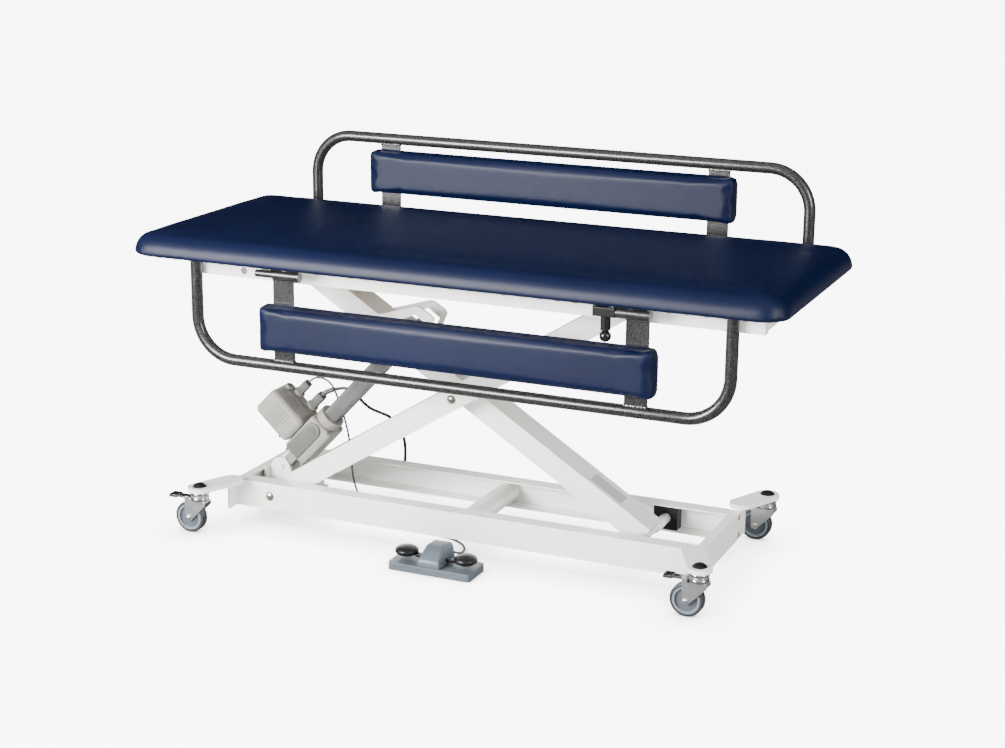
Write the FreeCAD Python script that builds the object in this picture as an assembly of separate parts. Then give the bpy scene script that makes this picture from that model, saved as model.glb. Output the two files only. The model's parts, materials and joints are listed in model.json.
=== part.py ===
import FreeCAD, Part
import math
import os

from FreeCAD import Vector, Rotation, Placement

# Powered hi-lo treatment and changing table: rolling base, scissor lift, padded top, two swing-down side rails.
# X runs along the table, -Y is the near side, Z is up, the floor is z = 0. Millimetres.
# The dimensions below are measured from the middle of the base; SHIFT moves the finished model so that the
# middle of the whole table's footprint is the origin.
SHIFT = Vector(-12.0, -15.0, 0.0)

# Base frame
BASE_HALF_LENGTH = 578.0
BASE_HALF_WIDTH = 145.0
BASE_TOP = 103.0
CHANNEL_HEIGHT = 63.5
CHANNEL_FLANGE = 38.0
CHANNEL_WALL = 4.0
END_WEB = 5.0
END_WEB_HALF = 180.0
END_FLANGE = 16.0
BASE_BOTTOM = BASE_TOP - CHANNEL_HEIGHT
CHANNEL_MID = BASE_TOP - CHANNEL_HEIGHT / 2
CROSS_TUBE_X = 8.0
CROSS_TUBE_R = 25.4

# Outriggers and casters
STEM_X = 607.0
STEM_Y = 255.0
OUTRIGGER_ROOT = (569.0, 175.0)
OUTRIGGER_WIDTH = 55.0
OUTRIGGER_THICK = 10.0
WHEEL_R = 37.5
WHEEL_HALF = 11.0
WHEEL_TRAIL = 24.0
FORK_HALF = 15.0
FORK_PLATE = 2.5
PEDAL_PIVOT = (-27.5, 84.5)
PEDAL_PIN_R = 1.5
PEDAL_REACH = 76.0
HUB_WEB_HALF = 6.0
HUB_HOLLOW_R = (11.0, 26.0)

# Scissor
PIVOT_X = -485.0
SPAN = 894.0
RISE = 560.75
ARM_HALF = math.hypot(SPAN, RISE) / 2
LIFT = math.degrees(math.atan2(RISE, SPAN))
ARM_DEPTH = 50.8
ARM_WALL = 3.0
ARM_A_Y = (44.6, 95.4)
ARM_B_HALF = 38.1
LUG_R = 20.0
TUBE_HALF = ARM_HALF - 30.0
SHAFT_R = 8.0
RUN = 0.05
CROSS_X = PIVOT_X + SPAN / 2
CROSS_Z = CHANNEL_MID + RISE / 2
RIGHT_X = PIVOT_X + SPAN
UPPER_Z = CHANNEL_MID + RISE

# Actuator
REAR_PIVOT = (-520.0, 106.0)
CLEVIS = (-162.0, 489.8)
TILT = math.degrees(math.atan2(CLEVIS[1] - REAR_PIVOT[1], CLEVIS[0] - REAR_PIVOT[0]))
PIN_TO_PIN = math.hypot(CLEVIS[0] - REAR_PIVOT[0], CLEVIS[1] - REAR_PIVOT[1])
CYLINDER_R = 19.0
CYLINDER_END = 412.0
ROD_R = 10.0
ROD_END_R = 15.0
# The control box's end face, and each plug on it: across the table, and above the actuator's line
CONTROL_END = 137.0
SWITCH_PLUG = (33.0, 103.3)
SWITCH_PLUG_END = 176.2
MAINS_INLET = (37.0, 58.8)
MAINS_INLET_END = 181.0
BLANK_PLUG = (15.0, 128.0)
# The actuator passes through slots in the wide arm, given as distances up the arm from the crossing
SLOT_HALF = 22.0
SLOT_UNDER = (160.0, 296.0)
SLOT_OVER = (160.0, 258.0)

# Top
PAD_MID_X = 12.0
PAD_HALF_LENGTH = 762.0
PAD_HALF_WIDTH = 304.8
PAD_BOTTOM = 655.5
PAD_THICK = 55.5
PAD_CORNER = 60.0
PAD_ROUND = 46.0
DECK_INSET = 20.0
DECK_THICK = 12.0
RAIL_X = (-614.0, 717.0)
TOP_HALF = 233.0
TOP_RAIL_Z = 616.0
TOP_RAIL_WALL = 3.0
TOP_RAIL_FLANGE = 25.0

# Side rails, as they hang on the near side when lowered
HINGE_Y = 285.0
HINGE_Z = 643.5
RAIL_OFFSET = 36.5
RAIL_DROP = 216.5
TUBE_R = 13.35
TUBE_WALL = 2.6
LEG_X = (-600.0, 654.5)
BEND_R = 95.0
STRAP_WIDTH = 50.0
STRAP_THICK = 6.0
SLEEVE_R = 11.0
PIN_R = 6.0
BOLSTER_LENGTH = 922.0
BOLSTER_HEIGHT = 105.0
BOLSTER_DEPTH = 42.0
BOARD_THICK = 12.0
# side, strap positions along the table, bolster middle along the table and below the hinge
NEAR = {"straps": (-376.0, 453.0), "bolster": (40.0, 126.0)}
FAR = {"straps": (-395.0, 440.5), "bolster": (25.0, 138.0)}

# Foot switch and cords
SWITCH = (-6.0, -241.0)
SWITCH_CABLE_D = 5.0
MAINS_D = 7.5
COIL_CENTRE = (-250.0, 272.0)
COIL_R = (26.5, 58.0)
COIL_HEIGHT = 15.5
PLUG_SIZE = (40.0, 20.0, 18.0)
# The mains plug's moulded strain relief bends from the plug's end to the cord
RELIEF_ROUTE = [(-440.1, 37.0, 277.8), (-428.5, 39.0, 288.0), (-413.8, 43.0, 292.9)]


def save(name, *shapes):
    """Writes one sub-part; several solids that aren't joined stay separate in one file."""
    shape = shapes[0].copy() if len(shapes) == 1 else Part.makeCompound([s.copy() for s in shapes])
    shape.translate(SHIFT)
    shape.exportStep("parts/" + name + ".step")


def box(x0, x1, y0, y1, z0, z1):
    return Part.makeBox(x1 - x0, y1 - y0, z1 - z0, Vector(x0, y0, z0))


def rod(x, y, z, axis, radius, low, high):
    """A round bar along X, Y or Z through the point, from low to high along that axis."""
    direction = {"x": Vector(1, 0, 0), "y": Vector(0, 1, 0), "z": Vector(0, 0, 1)}[axis]
    start = {"x": Vector(low, y, z), "y": Vector(x, low, z), "z": Vector(x, y, low)}[axis]
    return Part.makeCylinder(radius, high - low, start, direction)


def dome(x, y, z, axis, radius, height):
    """A domed head standing on the point along the axis: a ball's cap."""
    ball_r = (radius * radius + height * height) / (2 * height)
    ball = Part.makeSphere(ball_r, Vector(0, 0, height - ball_r))
    head = ball.common(Part.makeCylinder(radius, height + 1, Vector(0, 0, 0)))
    return head.transformGeometry(Placement(Vector(x, y, z), Rotation(Vector(0, 0, 1), axis)).toMatrix())


def joined(*shapes):
    shape = shapes[0]
    for other in shapes[1:]:
        shape = shape.fuse(other)
    return shape.removeSplitter()


def mirrored_y(shape):
    return shape.mirror(Vector(0, 0, 0), Vector(0, 1, 0))


def prism_xz(points, y0, y1):
    """A flat outline of (x, z) points, extruded from y0 to y1."""
    corners = [Vector(x, y0, z) for x, z in points]
    face = Part.Face(Part.makePolygon(corners + corners[:1]))
    return face.extrude(Vector(0, y1 - y0, 0))


def turned(shape, x, z, degrees):
    """Turns a shape drawn along +X from the origin so that it points up at the angle, from (x, z)."""
    placed = shape.copy()
    placed.Placement = Placement(Vector(x, 0, z), Rotation(Vector(0, 1, 0), -degrees))
    return placed


def rounded_box(x0, x1, y0, y1, z0, z1, radius):
    block = box(x0, x1, y0, y1, z0, z1)
    return block.makeFillet(radius, block.Edges)


def channel(x0, x1, face_y, z0, height, flange, wall, side):
    """A C-channel along X whose web faces out at face_y on the given side, open towards the middle."""
    inner_y = face_y - flange
    outer = box(x0, x1, inner_y, face_y, z0, z0 + height)
    inner = box(x0 - 1, x1 + 1, inner_y - 1, face_y - wall, z0 + wall, z0 + height - wall)
    far_side = outer.cut(inner)
    return far_side if side > 0 else mirrored_y(far_side)


def capsule_path(points):
    """A wire of straight runs joined by tangent arcs, each 0.45 of its shorter run deep; prints the radii."""
    nodes = [Vector(*p) for p in points]
    edges = []
    start = nodes[0]
    radii = []
    for before, corner, after in zip(nodes, nodes[1:], nodes[2:]):
        back = (before - corner)
        ahead = (after - corner)
        reach = 0.45 * min(back.Length, ahead.Length)
        back.normalize()
        ahead.normalize()
        half_turn = (math.pi - back.getAngle(ahead)) / 2
        radius = reach / math.tan(half_turn)
        enter = corner + back * reach
        leave = corner + ahead * reach
        bisector = back + ahead
        bisector.normalize()
        centre_distance = math.hypot(radius, reach)
        middle = corner + bisector * (centre_distance - radius)
        edges.append(Part.LineSegment(start, enter).toShape())
        edges.append(Part.Arc(enter, middle, leave).toShape())
        start = leave
        radii.append(radius)
    edges.append(Part.LineSegment(start, nodes[-1]).toShape())
    return Part.Wire(edges), radii


def cord(name, points, diameter):
    """A cord's tube along its route, with its radii, and its volume against section times length."""
    path, radii = capsule_path(points)
    nodes = [Vector(*p) for p in points]
    circle = Part.Wire(Part.makeCircle(diameter / 2, nodes[0], nodes[1] - nodes[0]))
    tube = path.makePipeShell([circle], True, False)
    section = math.pi * diameter * diameter / 4
    print(name, "length", round(path.Length, 1), "volume ratio", round(tube.Volume / (section * path.Length), 4))
    print("  radii", [round(r) for r in radii], "least z", round(min(p[2] for p in points) - diameter / 2, 2))
    return tube


def base_frame():
    half = BASE_HALF_LENGTH - END_WEB
    for name, side in (("near", -1), ("far", 1)):
        web = channel(-half, half, BASE_HALF_WIDTH, BASE_BOTTOM, CHANNEL_HEIGHT,
                      CHANNEL_FLANGE, CHANNEL_WALL, side)
        hole = rod(PIVOT_X, 0, CHANNEL_MID, "y", SHAFT_R, -200, 200)
        save("base_side_channel_" + name, web.cut(hole))
    flange_y = BASE_HALF_WIDTH - CHANNEL_FLANGE
    for name, side in (("left", -1), ("right", 1)):
        face = side * BASE_HALF_LENGTH
        inner = side * half
        lip = side * (half - END_FLANGE)
        web = box(min(face, inner), max(face, inner), -END_WEB_HALF, END_WEB_HALF, BASE_BOTTOM, BASE_TOP)
        x0, x1 = min(lip, inner), max(lip, inner)
        top = box(x0, x1, -flange_y, flange_y, BASE_TOP - CHANNEL_WALL, BASE_TOP)
        bottom = box(x0, x1, -flange_y, flange_y, BASE_BOTTOM, BASE_BOTTOM + CHANNEL_WALL)
        save("base_end_member_" + name, joined(web, top, bottom))
    tube = rod(CROSS_TUBE_X, 0, CHANNEL_MID, "y", CROSS_TUBE_R, -141, 141)
    save("base_cross_tube", tube.cut(rod(CROSS_TUBE_X, 0, CHANNEL_MID, "y", CROSS_TUBE_R - 3, -150, 150)))


def outrigger(sx, sy):
    """A flat arm with round ends, from the end member's corner out to the caster stem."""
    root = Vector(sx * OUTRIGGER_ROOT[0], sy * OUTRIGGER_ROOT[1], BASE_TOP)
    tip = Vector(sx * STEM_X, sy * STEM_Y, BASE_TOP)
    along = tip - root
    across = Vector(-along.y, along.x, 0)
    across.normalize()
    across = across * (OUTRIGGER_WIDTH / 2)
    corners = [root + across, tip + across, tip - across, root - across, root + across]
    bar = Part.Face(Part.makePolygon(corners)).extrude(Vector(0, 0, OUTRIGGER_THICK))
    ends = [Part.makeCylinder(OUTRIGGER_WIDTH / 2, OUTRIGGER_THICK, p) for p in (root, tip)]
    plate = joined(bar, *ends)
    return plate.cut(rod(tip.x, tip.y, 0, "z", 6.0, BASE_TOP - 1, BASE_TOP + OUTRIGGER_THICK + 1))


def base_details():
    signs = [(sx, sy) for sx in (-1, 1) for sy in (-1, 1)]
    save("outriggers", *[outrigger(sx, sy) for sx, sy in signs])
    plate_top = BASE_TOP + OUTRIGGER_THICK
    up = Vector(0, 0, 1)
    save("caster_caps", *[dome(sx * STEM_X, sy * STEM_Y, plate_top, up, 16.5, 9.0) for sx, sy in signs])
    heads = []
    for sx, sy in signs:
        for z in (CHANNEL_MID - 20.5, CHANNEL_MID + 20.5):
            heads.append(dome(sx * BASE_HALF_LENGTH, sy * 126.0, z, Vector(sx, 0, 0), 6.5, 3.5))
    for sy in (-1, 1):
        heads.append(dome(PIVOT_X, sy * BASE_HALF_WIDTH, CHANNEL_MID, Vector(0, sy, 0), 11.0, 5.0))
    save("base_bolts", *heads)
    shaft = rod(PIVOT_X, 0, CHANNEL_MID, "y", SHAFT_R, -BASE_HALF_WIDTH, BASE_HALF_WIDTH)
    save("lower_pivot_shaft", shaft)
    x, z = REAR_PIVOT
    ear = prism_xz([(-551, 45), (-551, 100), (x - 22, z + 14), (x - 8, z + 22), (x + 8, z + 22), (x + 20, z + 8),
                    (-488, 78), (-440, 78), (-432, 68), (-432, 45)], 20.0, 26.0)
    foot = box(-557, -551, -45, 45, BASE_BOTTOM, BASE_TOP)
    floor_plate = box(-551, -432, -45, 45, 45, 50)
    bracket = joined(ear, mirrored_y(ear), foot, floor_plate)
    for hole in (rod(x, 0, z, "y", 6.0, -40, 40), rod(PIVOT_X, 0, CHANNEL_MID, "y", SHAFT_R, -40, 40)):
        bracket = bracket.cut(hole)
    save("actuator_base_bracket", bracket, rod(x, 0, z, "y", 6.0, -29, 29))


def arm(y0, y1, cheek_start, cheek_end):
    """A hollow rectangular arm along local X about its middle, with round cheeks at the chosen ends."""
    half_depth = ARM_DEPTH / 2
    start = -TUBE_HALF if cheek_start else -ARM_HALF
    end = TUBE_HALF if cheek_end else ARM_HALF
    body = box(start, end, y0, y1, -half_depth, half_depth)
    parts = [body]
    for wanted, s in ((cheek_start, -1), (cheek_end, 1)):
        if wanted:
            reach = sorted((s * (TUBE_HALF - 40), s * ARM_HALF))
            parts.append(box(reach[0], reach[1], y0, y1, -LUG_R, LUG_R))
            parts.append(rod(s * ARM_HALF, 0, 0, "y", LUG_R, y0, y1))
    solid = joined(*parts)
    hollow = box(-ARM_HALF - 50, ARM_HALF + 50, y0 + ARM_WALL, y1 - ARM_WALL, ARM_WALL - half_depth,
                 half_depth - ARM_WALL)
    return solid.cut(hollow)


def bores(shape, places, radius):
    for s in places:
        shape = shape.cut(rod(s, 0, 0, "y", radius, -200, 200))
    return shape


def arm_a():
    """The two outer arms, joined by the shafts at the crossing and at their upper ends."""
    far = arm(ARM_A_Y[0], ARM_A_Y[1], True, True)
    far = bores(far, [-ARM_HALF], SHAFT_R + RUN)
    far = bores(far, [0, ARM_HALF], SHAFT_R)
    near = mirrored_y(far)
    save("arm_a_far", turned(far, CROSS_X, CROSS_Z, LIFT))
    save("arm_a_near", turned(near, CROSS_X, CROSS_Z, LIFT))
    reach = ARM_A_Y[1]
    crossing = rod(CROSS_X, 0, CROSS_Z, "y", SHAFT_R, -reach, reach)
    heads = [dome(CROSS_X, s * reach, CROSS_Z, Vector(0, s, 0), 11.0, 5.0) for s in (-1, 1)]
    upper = rod(RIGHT_X, 0, UPPER_Z, "y", SHAFT_R, -TOP_HALF + 5, TOP_HALF - 5)
    save("arm_a_shafts", joined(crossing, *heads), upper)


def arm_b():
    """The wide middle arm: saddled onto the lower shaft, cheeks at the top, actuator bracket on its back."""
    tube = arm(-ARM_B_HALF, ARM_B_HALF, False, True)
    tube = bores(tube, [-ARM_HALF], SHAFT_R)
    tube = bores(tube, [0, ARM_HALF], SHAFT_R + RUN)
    half_depth = ARM_DEPTH / 2
    for low, high, z0, z1 in (SLOT_UNDER + (0, half_depth + 5), SLOT_OVER + (-half_depth - 5, 0)):
        tube = tube.cut(box(low, high, -SLOT_HALF, SLOT_HALF, z0, z1))
    save("arm_b_tube", turned(tube, CROSS_X, CROSS_Z, 180 - LIFT))
    reach = BASE_HALF_WIDTH - CHANNEL_WALL - 1.5
    save("arm_b_lower_shaft", rod(RIGHT_X, 0, CHANNEL_MID, "y", SHAFT_R, -reach, reach))


def slides():
    """Nylon blocks that run in the base channels and in the top side rails."""
    web = BASE_HALF_WIDTH - CHANNEL_WALL
    lower = box(RIGHT_X - 28.5, RIGHT_X + 28.5, web - 31.5, web - 1.0, CHANNEL_MID - 27.3, CHANNEL_MID + 27.3)
    lower = lower.cut(rod(RIGHT_X, 0, CHANNEL_MID, "y", SHAFT_R + RUN, 0, 200))
    save("lower_slide_blocks", mirrored_y(lower), lower)
    rail_mid = (TOP_RAIL_Z + PAD_BOTTOM) / 2
    web = TOP_HALF - TOP_RAIL_WALL
    upper = box(RIGHT_X - 20, RIGHT_X + 20, web - 22.5, web - 0.5, rail_mid - 16.2, rail_mid + 16.2)
    upper = upper.cut(rod(RIGHT_X, 0, UPPER_Z, "y", SHAFT_R + RUN, 0, 300))
    save("upper_slide_blocks", mirrored_y(upper), upper)


def actuator_bracket():
    """Two ears standing on the wide arm, each a six-sided ring around the actuator's rod end."""
    x, z = CLEVIS
    angle = math.radians(LIFT)
    above_arm = (x - CROSS_X) * math.sin(angle) + (z - CROSS_Z) * math.cos(angle)
    foot = ARM_DEPTH / 2 - above_arm + 0.02
    outline = [(-86, foot), (-20, 49), (-10, 54), (24, 54), (31.5, 49.5), (43, foot)]
    window = [(-42, -12), (-13.4, 31), (22.6, 30), (29, -12)]
    ears = []
    for y0, y1 in ((-38.1, -32.1), (32.1, 38.1)):
        ear = prism_xz(outline, y0, y1).cut(prism_xz(window, y0 - 1, y1 + 1))
        ears.append(ear)
    placed = [turned(e, x, z, -LIFT) for e in ears]
    save("actuator_bracket", *placed)


def profile_bar(half, start, end):
    """The actuator's extruded aluminium profile: a square bar along X with well-rounded edges."""
    bar = box(start, end, -half, half, -half, half)
    along = [e for e in bar.Edges if abs(e.Vertexes[0].X - e.Vertexes[1].X) > 1]
    return bar.makeFillet(7, along)


def actuator():
    """Drawn along +X from the rear pivot, then turned up to the actuator's tilt."""
    x, z = REAR_PIVOT

    def place(*shapes):
        return [turned(s, x, z, TILT) for s in shapes]

    housing = rounded_box(50, 166, -38, 38, -38, 30, 9)
    fixture = joined(rod(0, 0, 0, "y", 14, -19.5, 19.5), box(0, 52, -19.5, 19.5, -12, 12))
    body = joined(housing, fixture).cut(rod(0, 0, 0, "y", 6.0 + RUN, -50, 50))
    body = body.cut(profile_bar(CYLINDER_R, 150, 170))
    save("actuator_motor_housing", *place(body))
    control = rounded_box(60, CONTROL_END, -47, 49, 30.0, 142, 14)
    save("actuator_control_box", *place(control))
    collar = rod(0, 0, 0, "x", 31, 166, 188).cut(profile_bar(CYLINDER_R, 160, 190))
    save("actuator_collar", *place(collar))
    tube = profile_bar(CYLINDER_R, 150, CYLINDER_END)
    tube = tube.cut(rod(0, 0, 0, "x", CYLINDER_R - 3, 160, CYLINDER_END - 8))
    save("actuator_outer_tube", *place(tube.cut(rod(0, 0, 0, "x", ROD_R + RUN, 160, CYLINDER_END + 1))))
    y, c = SWITCH_PLUG
    switch_plug = box(CONTROL_END, SWITCH_PLUG_END, y - 9, y + 9, c - 9, c + 9)
    y, c = MAINS_INLET
    mains_plug = box(CONTROL_END, MAINS_INLET_END, y - 10, y + 10, c - 10, c + 10)
    y, c = BLANK_PLUG
    blank_plug = box(CONTROL_END, CONTROL_END + 7, y - 8, y + 8, c - 6, c + 6)
    bend, _ = capsule_path(RELIEF_ROUTE)
    start = Vector(*RELIEF_ROUTE[0])
    circle = Part.Wire(Part.makeCircle(6.0, start, Vector(*RELIEF_ROUTE[1]) - start))
    relief = bend.makePipeShell([circle], True, False)
    save("cable_plugs", *place(switch_plug, blank_plug), joined(*place(mains_plug), relief))
    stem = rod(0, 0, 0, "x", ROD_R, 250, PIN_TO_PIN - 10)
    eye = rod(0, 0, 0, "x", ROD_END_R, PIN_TO_PIN - 35, PIN_TO_PIN + 20)
    pin = rod(PIN_TO_PIN, 0, 0, "y", 6, -30, 30)
    save("actuator_rod", *place(joined(stem, eye, pin)))


def top():
    for name, side in (("near", -1), ("far", 1)):
        rail = channel(RAIL_X[0], RAIL_X[1], TOP_HALF, TOP_RAIL_Z, PAD_BOTTOM - TOP_RAIL_Z,
                       TOP_RAIL_FLANGE, TOP_RAIL_WALL, side)
        save("top_side_rail_" + name, rail.cut(rod(PIVOT_X, 0, UPPER_Z, "y", SHAFT_R, -300, 300)))
    inner = TOP_HALF - TOP_RAIL_WALL
    members = []
    for x in (RAIL_X[0] + 2, -200.0, RAIL_X[1] - 27):
        deep = PAD_BOTTOM - TOP_RAIL_Z - 2 * TOP_RAIL_WALL
        low = TOP_RAIL_Z + TOP_RAIL_WALL if x != -200.0 else PAD_BOTTOM - TOP_RAIL_WALL - 12
        members.append(box(x, x + 25, -inner, inner, low, TOP_RAIL_Z + TOP_RAIL_WALL + deep))
    save("top_cross_members", *members)
    save("upper_pivot_shaft", rod(PIVOT_X, 0, UPPER_Z, "y", SHAFT_R, -TOP_HALF, TOP_HALF))
    x0, x1 = PAD_MID_X - PAD_HALF_LENGTH, PAD_MID_X + PAD_HALF_LENGTH
    half = PAD_HALF_WIDTH
    deck = box(x0 + DECK_INSET, x1 - DECK_INSET, DECK_INSET - half, half - DECK_INSET,
               PAD_BOTTOM, PAD_BOTTOM + DECK_THICK)
    uprights = [e for e in deck.Edges if abs(e.Vertexes[0].Z - e.Vertexes[1].Z) > 1]
    deck = deck.makeFillet(PAD_CORNER - DECK_INSET, uprights)
    save("deck_board", deck)
    pad = box(x0, x1, -half, half, PAD_BOTTOM, PAD_BOTTOM + PAD_THICK)
    uprights = [e for e in pad.Edges if abs(e.Vertexes[0].Z - e.Vertexes[1].Z) > 1]
    pad = pad.makeFillet(PAD_CORNER, uprights)
    rim = [e for e in pad.Edges if min(v.Z for v in e.Vertexes) > PAD_BOTTOM + PAD_THICK - 1]
    pad = pad.makeFillet(PAD_ROUND, rim)
    save("mattress_pad", pad.cut(deck))


def rail_frame(straps):
    """One side rail hanging down on the near side: bent tube, two flat bars and their hinge sleeves."""
    y = -HINGE_Y + RAIL_OFFSET
    z_low = HINGE_Z - RAIL_DROP
    z_top = HINGE_Z + 8.5
    x0, x1 = LEG_X
    corner = BEND_R * (1 - math.sqrt(0.5))
    points = [Vector(x0, y, z_top), Vector(x0, y, z_low + BEND_R), Vector(x0 + corner, y, z_low + corner),
              Vector(x0 + BEND_R, y, z_low), Vector(x1 - BEND_R, y, z_low), Vector(x1 - corner, y, z_low + corner),
              Vector(x1, y, z_low + BEND_R), Vector(x1, y, z_top)]
    edges = [Part.LineSegment(points[0], points[1]).toShape(),
             Part.Arc(points[1], points[2], points[3]).toShape(),
             Part.LineSegment(points[3], points[4]).toShape(),
             Part.Arc(points[4], points[5], points[6]).toShape(),
             Part.LineSegment(points[6], points[7]).toShape()]
    path = Part.Wire(edges)
    outer = path.makePipeShell([Part.Wire(Part.makeCircle(TUBE_R, points[0], Vector(0, 0, -1)))], True, False)
    bore = path.makePipeShell([Part.Wire(Part.makeCircle(TUBE_R - TUBE_WALL, points[0], Vector(0, 0, -1)))],
                              True, False)
    tube = outer.cut(bore)
    lug_z = HINGE_Z - SLEEVE_R
    pieces = []
    for x, sleeve in zip(straps, ((-2, 57), (-33.5, 36))):
        bar = box(x - STRAP_WIDTH / 2, x + STRAP_WIDTH / 2, y - STRAP_THICK / 2, y + STRAP_THICK / 2,
                  z_low, lug_z + 6)
        lug = box(max(x - STRAP_WIDTH / 2, x + sleeve[0]), x + STRAP_WIDTH / 2, -HINGE_Y,
                  y + STRAP_THICK / 2, lug_z, lug_z + 6)
        barrel = rod(0, -HINGE_Y, HINGE_Z, "x", SLEEVE_R, x + sleeve[0], x + sleeve[1])
        pieces.append(joined(bar.cut(outer), lug, barrel))
    left = pieces[0].cut(rod(0, -HINGE_Y, HINGE_Z, "x", PIN_R + RUN, straps[0] - 10, straps[0] + 70))
    stub = rod(0, -HINGE_Y, HINGE_Z, "x", PIN_R, straps[1] - 80, straps[1] - 30)
    right = joined(pieces[1], stub)
    cap = rod(0, -HINGE_Y, HINGE_Z, "x", SLEEVE_R, straps[1] + 36, straps[1] + 40)
    return [tube, left, right, cap]


def bolster(middle_x, drop):
    """The plywood board and its padded cover, hung in front of the flat bars."""
    back = -HINGE_Y + RAIL_OFFSET - STRAP_THICK / 2
    z = HINGE_Z - drop
    x0, x1 = middle_x - BOLSTER_LENGTH / 2, middle_x + BOLSTER_LENGTH / 2
    board = box(x0 + 10, x1 - 10, back - BOARD_THICK, back, z - BOLSTER_HEIGHT / 2 + 10, z + BOLSTER_HEIGHT / 2 - 10)
    pad = box(x0, x1, back - BOLSTER_DEPTH, back, z - BOLSTER_HEIGHT / 2, z + BOLSTER_HEIGHT / 2)
    across = [e for e in pad.Edges if abs(e.Vertexes[0].Y - e.Vertexes[1].Y) > 1]
    pad = pad.makeFillet(18, across)
    front = [e for e in pad.Edges if max(v.Y for v in e.Vertexes) < back - BOLSTER_DEPTH + 1]
    pad = pad.makeFillet(12, front)
    return board, pad.cut(board)


def hinge_brackets(straps):
    """The fixed half of each hinge: a tang welded to the top rail, its boss and pin, and the outer cap."""
    x = straps[0]
    tang = box(x - 47, x - 12, -HINGE_Y, -TOP_HALF, HINGE_Z - 4, HINGE_Z + 4)
    tang = tang.cut(rod(0, -HINGE_Y, HINGE_Z, "x", SLEEVE_R + 0.5, x - 2.5, x + 60))
    boss = rod(0, -HINGE_Y, HINGE_Z, "x", 8, x - 47, x - 2.5)
    pin = rod(0, -HINGE_Y, HINGE_Z, "x", PIN_R, x - 40, x + 58)
    cap = rod(0, -HINGE_Y, HINGE_Z, "x", SLEEVE_R, x + 57.5, x + 62)
    return [joined(tang, boss, pin, cap)]


def latch_housing(straps):
    """The black bearing block that holds the right stub shaft and the indexing plunger's barrel."""
    x = straps[1]
    block = box(x - 82, x - 34, -HINGE_Y - 12, -TOP_HALF, HINGE_Z - 10, HINGE_Z + 11)
    across = [e for e in block.Edges if abs(e.Vertexes[0].X - e.Vertexes[1].X) > 1]
    block = block.makeFillet(3, across)
    barrel = rod(x - 57, -HINGE_Y, 0, "z", 10.5, HINGE_Z - 39, HINGE_Z - 9)
    solid = joined(block, barrel)
    solid = solid.cut(rod(0, -HINGE_Y, HINGE_Z, "x", PIN_R + RUN, x - 90, x - 30))
    return solid.cut(rod(x - 57, -HINGE_Y, 0, "z", 4 + RUN, HINGE_Z - 50, HINGE_Z - 3))


def latch_plunger(straps):
    x = straps[1] - 57
    pin = rod(x, -HINGE_Y, 0, "z", 4, HINGE_Z - 48, HINGE_Z - PIN_R - 0.3)
    ball = Part.makeSphere(12.5, Vector(x, -HINGE_Y, HINGE_Z - 52))
    return joined(pin, ball)


def raise_rail(shape):
    """Swings a near-side rail part up about its hinge, then mirrors it to the far side."""
    up = shape.copy()
    up.rotate(Vector(0, -HINGE_Y, HINGE_Z), Vector(1, 0, 0), 180)
    return mirrored_y(up)


def side_rails():
    near_board, near_pad = bolster(*NEAR["bolster"])
    far_board, far_pad = bolster(*FAR["bolster"])
    save("near_rail_frame", *rail_frame(NEAR["straps"]))
    save("near_bolster_board", near_board)
    save("near_bolster_pad", near_pad)
    save("far_rail_frame", *[raise_rail(s) for s in rail_frame(FAR["straps"])])
    save("far_bolster_board", raise_rail(far_board))
    save("far_bolster_pad", raise_rail(far_pad))
    far_fixed = [mirrored_y(s) for s in hinge_brackets(FAR["straps"])]
    save("rail_hinge_brackets", *hinge_brackets(NEAR["straps"]), *far_fixed)
    save("latch_housings", latch_housing(NEAR["straps"]), mirrored_y(latch_housing(FAR["straps"])))
    save("latch_plunger_near", latch_plunger(NEAR["straps"]))
    save("latch_plunger_far", mirrored_y(latch_plunger(FAR["straps"])))


def caster_fork(x, y):
    """Two cheeks with ears for the brake pedal, the crown, the two-ring swivel head, stem, axle and pedal pin."""
    axle_x = x - WHEEL_TRAIL
    px, pz = x + PEDAL_PIVOT[0], PEDAL_PIVOT[1]
    cheek = [(x - 33, 89), (x - 22, 89), (x - 22, 79), (x + 21, 79), (x + 21, 70), (axle_x + 9, WHEEL_R - 4),
             (axle_x + 5, WHEEL_R - 9), (axle_x - 5, WHEEL_R - 9), (x - 33, WHEEL_R - 4)]
    cheeks = [prism_xz(cheek, y - FORK_HALF, y - FORK_HALF + FORK_PLATE),
              prism_xz(cheek, y + FORK_HALF - FORK_PLATE, y + FORK_HALF)]
    crown = box(x - 14, x + 21, y - FORK_HALF, y + FORK_HALF, 76.6, 79)
    head = [rod(x, y, 0, "z", 21, 79, 91), rod(x, y, 0, "z", 17.5, 90, 94), rod(x, y, 0, "z", 21, 93.5, BASE_TOP)]
    stem = rod(x, y, 0, "z", 6, 100, BASE_TOP + OUTRIGGER_THICK)
    axle = rod(axle_x, 0, WHEEL_R, "y", 4, y - FORK_HALF - 3, y + FORK_HALF + 3)
    pin = rod(px, 0, pz, "y", PEDAL_PIN_R, y - FORK_HALF - 1, y + FORK_HALF + 1)
    return joined(*cheeks, crown, *head, stem, axle, pin)


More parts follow.
